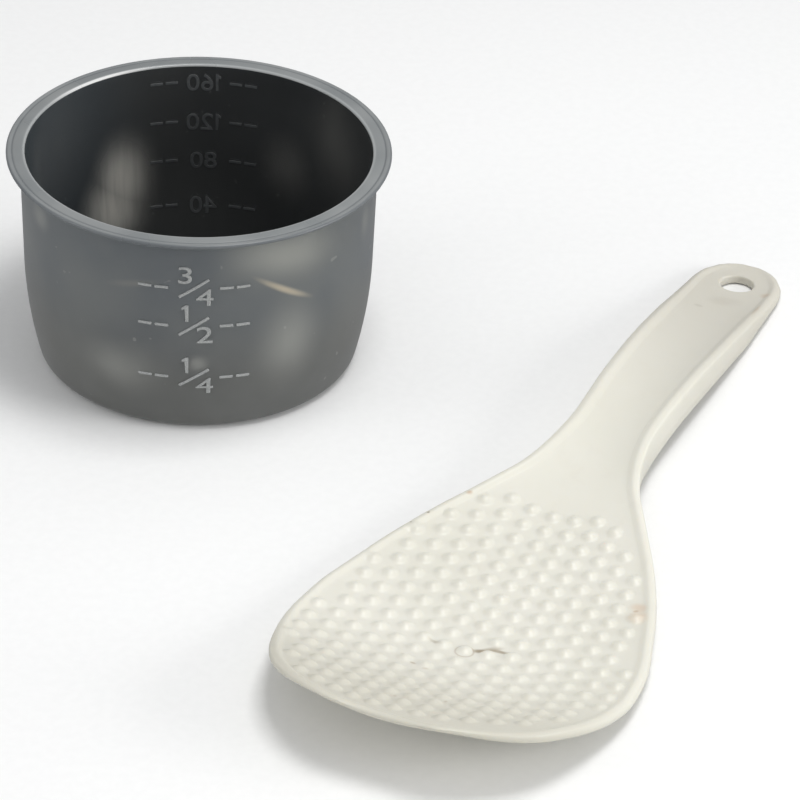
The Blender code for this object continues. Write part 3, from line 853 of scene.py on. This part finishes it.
def wrap(shape, across, height, turn, target):
    """Bends a mark round the wall, its face proud of the outside and its back just proud of the
    inside."""
    outside = cup_side(0.0, 0.0)
    inside = cup_side(CUP_WALL, CUP_FLOOR)
    foot = line_radius(outside, height)
    front = -(MARK_HALF_DEPTH + MARK_BEVEL)
    for v in shape.verts:
        z = height + v.co.z
        proud = line_radius(outside, z) + MARK_RELIEF
        deep = line_radius(inside, z) - MARK_WITNESS
        if v.co.y < 0.0:
            radius = proud - (v.co.y - front)
        else:
            radius = deep + (-front - v.co.y) * 0.4
        angle = (v.co.x + across) / foot
        v.co = Vector((radius * math.sin(angle), -radius * math.cos(angle), z))
    round_cup = Matrix.Rotation(turn, 3, "Z")
    bmesh.ops.rotate(shape, verts=shape.verts, cent=(0, 0, 0), matrix=round_cup)
    pour(shape, target)


def add_dashes(height, clear, turn, target):
    """Two dashes on each side of a figure, clear of it."""
    for side in (-1, 1):
        for i in range(2):
            across = clear / 2 + DASH_LENGTH / 2 + i * (DASH_LENGTH + DASH_GAP)
            wrap(bar(DASH_LENGTH, 0.0), side * across, height, turn, target)


def close_scale(name, marks, finishes):
    """The finished scale, with its inner faces in the paler see-through finish."""
    bmesh.ops.recalc_face_normals(marks, faces=marks.faces)
    inside = cup_side(CUP_WALL, CUP_FLOOR)
    for face in marks.faces:
        middle = face.calc_center_median()
        radius = math.hypot(middle.x, middle.y)
        face.material_index = 1 if radius < line_radius(inside, middle.z) + 0.4 * MM else 0
    mesh = bpy.data.meshes.new(name)
    marks.to_mesh(mesh)
    marks.free()
    shade(mesh, 40)
    scale = link(name, mesh, finishes)
    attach(scale, "cup")
    return scale


def place_number(number, share, height, target):
    """A figure of a fraction, moved from the fraction's middle by a share of its own height."""
    across, up = (DIGIT_HEIGHT * s for s in share)
    wrap(figure(str(number), FRACTION_WIDENING), across, height + up, 0.0, target)


def build_cupful_scale(finishes):
    marks = bmesh.new()
    for top, bottom, share in CUPFUL_MARKS:
        height = share * CUP_HEIGHT
        place_number(top, FRACTION_TOP, height, marks)
        place_number(bottom, FRACTION_BOTTOM, height, marks)
        wrap(bar(FRACTION_STROKE * DIGIT_HEIGHT, FRACTION_TILT), 0.0, height, 0.0, marks)
        add_dashes(height, FRACTION_CLEAR, 0.0, marks)
    return close_scale("raised_cupful_scale", marks, finishes)


def build_millilitre_scale(finishes):
    marks = bmesh.new()
    for amount, share in MILLILITRE_MARKS:
        height = share * CUP_HEIGHT
        wrap(figure(str(amount), MILLILITRE_WIDENING), 0.0, height, math.pi, marks)
        add_dashes(height, MILLILITRE_CLEAR, math.pi, marks)
    return close_scale("raised_millilitre_scale", marks, finishes)


# The paddle's shape.


def smooth_table(along):
    """Every column of SECTIONS at each distance along the paddle, on a smooth curve through its
    rows."""
    table = np.array(SECTIONS)
    share = np.clip(np.asarray(along, float) / PADDLE_LENGTH, 0.0, 1.0)
    i = np.clip(np.searchsorted(table[:, 0], share, side="left") - 1, 0, len(table) - 2)
    a, b = table[i], table[i + 1]
    before, after = table[np.maximum(i - 1, 0)], table[np.minimum(i + 2, len(table) - 1)]
    gap = b[:, :1] - a[:, :1]
    s = (share[:, None] - a[:, :1]) / gap
    slope_in = (b - before) / (b[:, :1] - before[:, :1])
    slope_out = (after - a) / (after[:, :1] - a[:, :1])
    value = (2 * s**3 - 3 * s**2 + 1) * a + (s**3 - 2 * s**2 + s) * gap * slope_in
    value += (3 * s**2 - 2 * s**3) * b + (s**3 - s**2) * gap * slope_out
    half = value[:, 1] * BLADE_WIDTH / 2 + value[:, 2] * HANDLE_WIDTH / 2
    return half, value[:, 3] * MM, value[:, 4] * MM, value[:, 5] * MM


def outline_distance(along, across):
    """How far points of the top face are from the outline."""
    steps = np.linspace(0.0, PADDLE_LENGTH, OUTLINE_STEPS)
    half = smooth_table(steps)[0]
    ring = np.column_stack([steps, half])
    ring = np.vstack([[0.0, 0.0], ring, [PADDLE_LENGTH, 0.0]])
    start, end = ring[:-1], ring[1:]
    step = end - start
    found = np.full(len(along), 1.0)
    points = np.column_stack([along, np.abs(across)])
    for low in range(0, len(points), 4000):
        chunk = points[low : low + 4000, None, :] - start[None]
        share = np.clip((chunk * step).sum(-1) / np.maximum((step**2).sum(-1), 1e-16), 0, 1)
        away = np.linalg.norm(chunk - share[..., None] * step, axis=-1)
        found[low : low + 4000] = away.min(axis=1)
    return found


def face_height(along, across):
    """Height of the top face without its lip and domes. The handle is dished a little deeper."""
    half, middle, sides, _ = smooth_table(along)
    share = np.clip(np.abs(across) / np.maximum(half, 1.0 * MM), 0.0, 1.0)
    dish = GRIP_DISH * np.interp(along, *GRIP_SHARE)
    return middle - dish + (sides + dish) * share**2


def lip_height(distance, along):
    """The soft ridge inside the outline: low round the scoop, wider and higher along the handle."""
    grip = np.interp(along, *GRIP_SHARE)
    ridge = (LIP_WIDTH + grip * (GRIP_LIP_WIDTH - LIP_WIDTH)) / 2
    height = LIP_HEIGHT + grip * (GRIP_LIP_HEIGHT - LIP_HEIGHT)
    rise = np.clip(1.0 - np.abs(distance - ridge) / ridge, 0.0, 1.0)
    into = np.clip(EDGE_ROUND - distance, 0.0, EDGE_ROUND)
    fall = EDGE_ROUND - np.sqrt(EDGE_ROUND**2 - into**2)
    return height * rise * rise * (3 - 2 * rise) - 0.8 * fall


def dome_places():
    """Middle of each dome, column by column from the handle end. The columns fan out a little."""
    places = []
    for column in range(1 - len(DOME_COLUMNS), len(DOME_COLUMNS)):
        first, count = DOME_COLUMNS[abs(column)]
        left = min(column, 0)
        lean = DOME_COLUMN_LEAN + DOME_COLUMN_FAN * left
        pitch = DOME_ROW_PITCH - DOME_ROW_SPREAD * left
        start = column * DOME_COLUMN_PITCH + DOME_COLUMNS_MIDDLE
        along = first * MM + DOME_ROW_TWIST * column * abs(column)
        for _ in range(count):
            places.append((start + lean * (along - DOME_FAN_MIDDLE), along))
            heights = smooth_table([along, along - MM])[1]
            slope = (heights[0] - heights[1]) / MM
            along -= pitch / math.sqrt(1 + slope * slope)
    places = np.array(places)
    return places[outline_distance(places[:, 1], places[:, 0]) >= DOME_MARGIN]


def top_surface(along, across):
    """Points of the finished top face, domes standing square to the surface."""
    height = face_height(along, across)
    step = SLOPE_STEP
    slope_x = (face_height(along, across + step) - face_height(along, across - step)) / (2 * step)
    slope_y = (face_height(along + step, across) - face_height(along - step, across)) / (2 * step)
    normal = np.column_stack([-slope_x, -slope_y, np.ones(len(along))])
    normal /= np.linalg.norm(normal, axis=1)[:, None]
    points = np.column_stack([across, along, height])
    places = dome_places()
    bases = np.column_stack([places, face_height(places[:, 1], places[:, 0])])
    rise = np.zeros(len(points))
    for base in bases:
        near = np.abs(points[:, 1] - base[1]) < 2 * DOME_RADIUS
        near &= np.abs(points[:, 0] - base[0]) < 2 * DOME_RADIUS
        away = np.linalg.norm(points[near] - base, axis=1) / DOME_RADIUS
        dome = np.clip(1.0 - away**2, 0.0, 1.0) ** DOME_ROUNDNESS
        rise[near] = np.maximum(rise[near], DOME_HEIGHT * dome)
    points += normal * rise[:, None]
    points[:, 2] += lip_height(outline_distance(along, across), along)
    return points


def station_list():
    """Distances along the paddle where a section is cut: fine over the domes and at both ends."""
    ends = PADDLE_LENGTH - np.array([6.0, 3.0, 1.6, 0.8, 0.4, 0.15, 0.0]) * MM
    tip = np.array([0.0, 0.12, 0.3, 0.55, 0.85, 1.2]) * MM
    blade = np.arange(1.6, 93.0, 0.42) * MM
    handle = np.arange(93.2, 194.0, 0.9) * MM
    return np.concatenate([tip, blade, handle, ends])


def build_paddle_shell():
    stations = station_list()
    half, middle, sides, wall = smooth_table(stations)
    edge = np.array([0.0, 0.08, 0.2, 0.36, 0.56, 0.8, 1.1, 1.45, 1.85, 2.25, 2.6]) * MM
    rows = []
    for i in range(len(stations)):
        inset = np.minimum(edge, half[i] * 0.055 * np.arange(len(edge)))
        inner = half[i] - inset[-1]
        across = np.concatenate([-half[i] + inset[:-1], np.linspace(-inner, inner, TOP_COLUMNS)])
        rows.append(np.concatenate([across, half[i] - inset[-2::-1]]))
    across = np.array(rows)
    along = np.repeat(stations, across.shape[1])
    top = top_surface(along, across.ravel()).reshape(len(stations), across.shape[1], 3)
    sections = []
    for i in range(len(stations)):
        thickness = min(BLADE_THICKNESS, wall[i])
        side_top = top[i, 0, 2]
        bottom = middle[i] + sides[i] - wall[i]
        draft = min(SIDE_DRAFT, half[i] * 0.1)
        web = min(HANDLE_WALL, half[i] * 0.45)
        ceiling = middle[i] - thickness
        ceiling_side = ceiling + 0.6 * sides[i]
        deep = side_top - bottom
        round_off = min(SIDE_ROUND, deep * 0.3)
        right = [
            (half[i] + draft * 0.35, side_top - deep * 0.15),
            (half[i] + draft * 0.6, side_top - deep * 0.4),
            (half[i] + draft * 0.6, side_top - deep * 0.6),
            (half[i] + draft * 0.55, bottom + round_off),
            (half[i] + draft * 0.4 - round_off * 0.3, bottom + round_off * 0.3),
            (half[i] - round_off, bottom),
            (half[i] - web * 0.7, bottom),
            (half[i] - web * 0.95, bottom + round_off * 0.5),
        ]
        lift = max(ceiling_side - bottom, 0.0)
        right += [(half[i] - web, bottom + lift * 0.5), (half[i] - web, ceiling_side)]
        under = []
        for k in range(1, 24):
            share = 1 - k / 12
            under.append((share * (half[i] - web), ceiling + (ceiling_side - ceiling) * share**2))
        left = [(-x, z) for x, z in reversed(right)]
        loop = [tuple(p) for p in top[i]]
        loop += [(x, stations[i], z) for x, z in right + under + left]
        sections.append(loop)
    count = len(sections[0])
    points = np.array(sections).reshape(-1, 3)
    ring = np.arange(count)
    following = (ring + 1) % count
    faces = [tuple(range(count)), tuple(reversed(range(len(points) - count, len(points))))]
    for i in range(len(stations) - 1):
        near = i * count
        far = near + count
        sides_between = [near + ring, far + ring, far + following, near + following]
        faces += np.column_stack(sides_between).tolist()
    mesh = bpy.data.meshes.new("rice_paddle_shell")
    mesh.from_pydata(points.tolist(), [], faces)
    shape = bmesh.new()
    shape.from_mesh(mesh)
    bmesh.ops.recalc_face_normals(shape, faces=shape.faces)
    shape.to_mesh(mesh)
    shape.free()
    shell = link("rice_paddle_shell", mesh, (cream_plastic(),))
    cut_hang_hole(shell)
    shade(shell.data, 40)
    turned = Matrix.Rotation(-PADDLE_TURN, 4, "Z")
    shell.data.transform(Matrix.Translation((*PADDLE_TIP, 0.0)) @ turned)
    bpy.context.view_layer.update()
    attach(shell, "paddle")
    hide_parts("rice_paddle")
    return shell


def cut_hang_hole(shell):
    """Cuts the hole with a waisted tool, which leaves its two edges rounded."""
    radius = HANG_HOLE_RADIUS
    flare = HOLE_EDGE_ROUND
    profile = [(0.0, -4 * MM), (radius + 2 * flare, -4 * MM)]
    profile += arc((radius + flare, HOLE_FOOT + flare), flare, -math.pi / 2, -math.pi, 6)
    profile += arc((radius + flare, HOLE_TOP - flare), flare, math.pi, math.pi / 2, 6)
    profile += [(radius + 2 * flare, 8 * MM), (0.0, 8 * MM)]
    shape = bmesh.new()
    along = PADDLE_LENGTH - HANG_HOLE_FROM_END
    rings = []
    for r, z in profile:
        if r == 0.0:
            rings.append([shape.verts.new((0.0, along, z))])
            continue
        ring = []
        for k in range(HOLE_SIDES):
            a = 2 * math.pi * k / HOLE_SIDES
            ring.append(shape.verts.new((r * math.cos(a), along + r * math.sin(a), z)))
        rings.append(ring)
    for a, b in zip(rings, rings[1:]):
        for k in range(HOLE_SIDES):
            j = (k + 1) % HOLE_SIDES
            corners = [a[k % len(a)], a[j % len(a)], b[j % len(b)], b[k % len(b)]]
            shape.faces.new(list(dict.fromkeys(corners)))
    bmesh.ops.recalc_face_normals(shape, faces=shape.faces)
    mesh = bpy.data.meshes.new("hang_hole_tool")
    shape.to_mesh(mesh)
    shape.free()
    tool = link("hang_hole_tool", mesh, ())
    cut = shell.modifiers.new("hang_hole", "BOOLEAN")
    cut.operation = "DIFFERENCE"
    cut.solver = "EXACT"
    cut.object = tool
    bpy.context.view_layer.update()
    graph = bpy.context.evaluated_depsgraph_get()
    finished = bpy.data.meshes.new_from_object(shell.evaluated_get(graph))
    shell.modifiers.clear()
    shell.data = finished
    bpy.data.objects.remove(tool, do_unlink=True)


# The studio.


def build_floor():
    shape = bmesh.new()
    bmesh.ops.create_grid(shape, x_segments=4, y_segments=4, size=FLOOR_REACH)
    mesh = bpy.data.meshes.new("studio_floor")
    shape.to_mesh(mesh)
    shape.free()
    floor = link("studio_floor", mesh, (floor_paper(),))
    floor.location = (0.0, 0.0, -FLOOR_GAP)
    floor.visible_transmission = False
    floor.visible_glossy = False
    return floor


def light_room():
    """White all round for matt surfaces, dim in reflections, dark behind the translucent cup."""
    world = bpy.data.worlds.new("studio")
    bpy.context.scene.world = world
    world.use_nodes = True
    tree = world.node_tree
    tree.nodes.clear()
    rays = tree.nodes.new("ShaderNodeLightPath")
    previous = None
    for strength, ray in ROOM_GLOW:
        glow = tree.nodes.new("ShaderNodeBackground")
        glow.inputs["Color"].default_value = linear("#FCFDFF")
        glow.inputs["Strength"].default_value = strength
        if previous is None:
            previous = glow.outputs["Background"]
            continue
        mix = tree.nodes.new("ShaderNodeMixShader")
        tree.links.new(rays.outputs[ray], mix.inputs["Fac"])
        tree.links.new(previous, mix.inputs[1])
        tree.links.new(glow.outputs["Background"], mix.inputs[2])
        previous = mix.outputs["Shader"]
    end = tree.nodes.new("ShaderNodeOutputWorld")
    tree.links.new(previous, end.inputs["Surface"])


def softbox(name, place, aim, size, power):
    data = bpy.data.lights.new(name, "AREA")
    data.shape = "RECTANGLE"
    data.size, data.size_y = size
    data.energy = power
    lamp = bpy.data.objects.new(name, data)
    bpy.context.scene.collection.objects.link(lamp)
    lamp.location = place
    lamp.rotation_mode = "QUATERNION"
    lamp.rotation_quaternion = (Vector(aim) - Vector(place)).to_track_quat("-Z", "Y")
    return lamp


def build_camera():
    data = bpy.data.cameras.new("camera")
    data.lens = CAMERA_LENS
    data.sensor_width = 36.0
    data.clip_start = 0.01
    camera = bpy.data.objects.new("camera", data)
    bpy.context.scene.collection.objects.link(camera)
    turned = Matrix.Rotation(CAMERA_TURN, 4, "Z")
    tilted = Matrix.Rotation(math.pi / 2 - CAMERA_DOWN, 4, "X")
    rolled = Matrix.Rotation(CAMERA_ROLL, 4, "Z")
    camera.matrix_world = Matrix.Translation(CAMERA_PLACE) @ turned @ tilted @ rolled
    bpy.context.scene.camera = camera


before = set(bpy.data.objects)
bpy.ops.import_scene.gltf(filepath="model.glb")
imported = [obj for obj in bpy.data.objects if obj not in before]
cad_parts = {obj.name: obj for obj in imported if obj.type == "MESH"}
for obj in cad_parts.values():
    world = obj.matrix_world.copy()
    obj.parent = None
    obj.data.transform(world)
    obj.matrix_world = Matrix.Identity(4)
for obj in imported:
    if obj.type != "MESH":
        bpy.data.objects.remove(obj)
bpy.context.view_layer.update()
scale_finishes = (raised_figures(), figures_through_wall())
build_camera()
build_cup_shell()
build_cupful_scale(scale_finishes)
build_millilitre_scale(scale_finishes)
build_paddle_shell()
build_floor()
light_room()
for lamp in SOFTBOXES:
    softbox(*lamp)
bpy.context.scene.view_settings.view_transform = "Standard"
